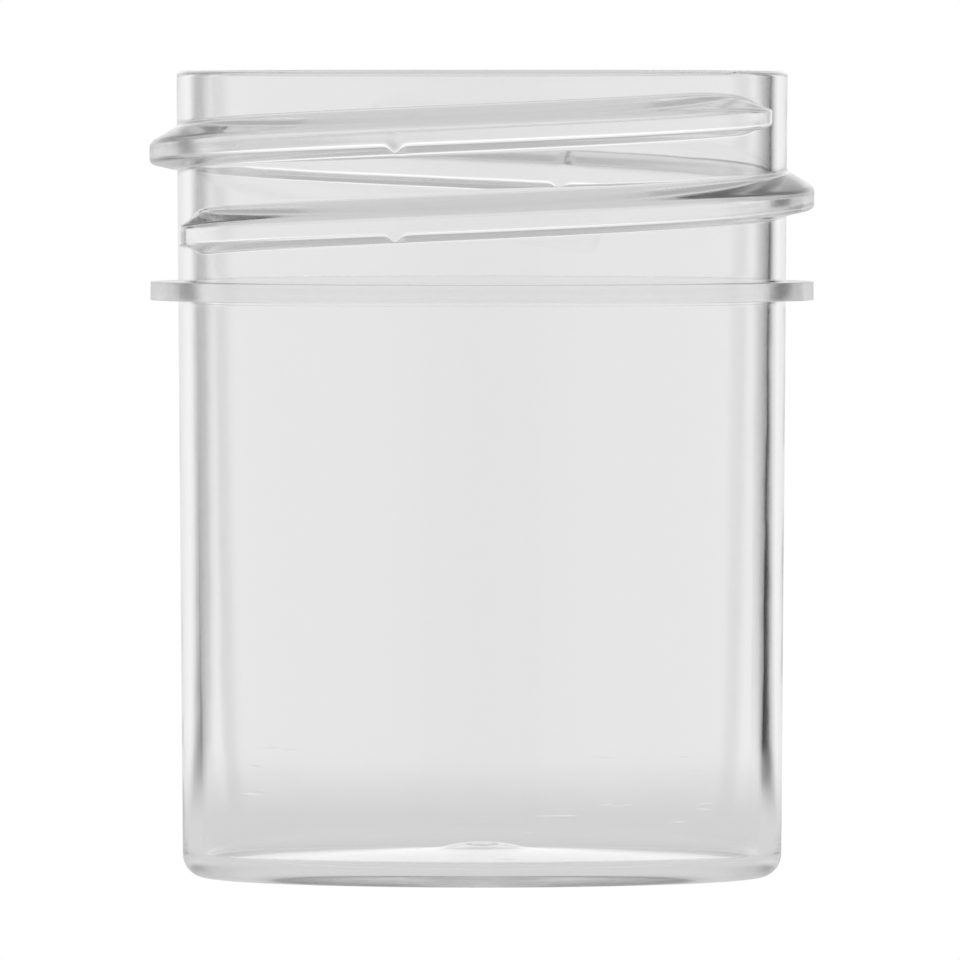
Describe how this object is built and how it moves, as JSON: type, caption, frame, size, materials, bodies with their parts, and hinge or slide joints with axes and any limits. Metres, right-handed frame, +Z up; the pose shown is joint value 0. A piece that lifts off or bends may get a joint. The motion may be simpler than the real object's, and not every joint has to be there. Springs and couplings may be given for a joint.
{
  "type": "specimen jar",
  "caption": "Small clear wide-mouth specimen jar, moulded in one piece, with a continuous screw-thread neck, a transfer bead and a hollow base.",
  "frame": {"origin": "centre of the circle that the jar stands on", "axes": "+Z up along the jar's axis through the open mouth; -Y is the front, where the thread runs across twice"},
  "size_m": [0.032, 0.032, 0.0388],
  "materials": {
    "clear_plastic": "clear moulded polystyrene, polished inside and out"
  },
  "bodies": {
    "root": {"jar": "clear_plastic"}
  },
  "joints": []
}
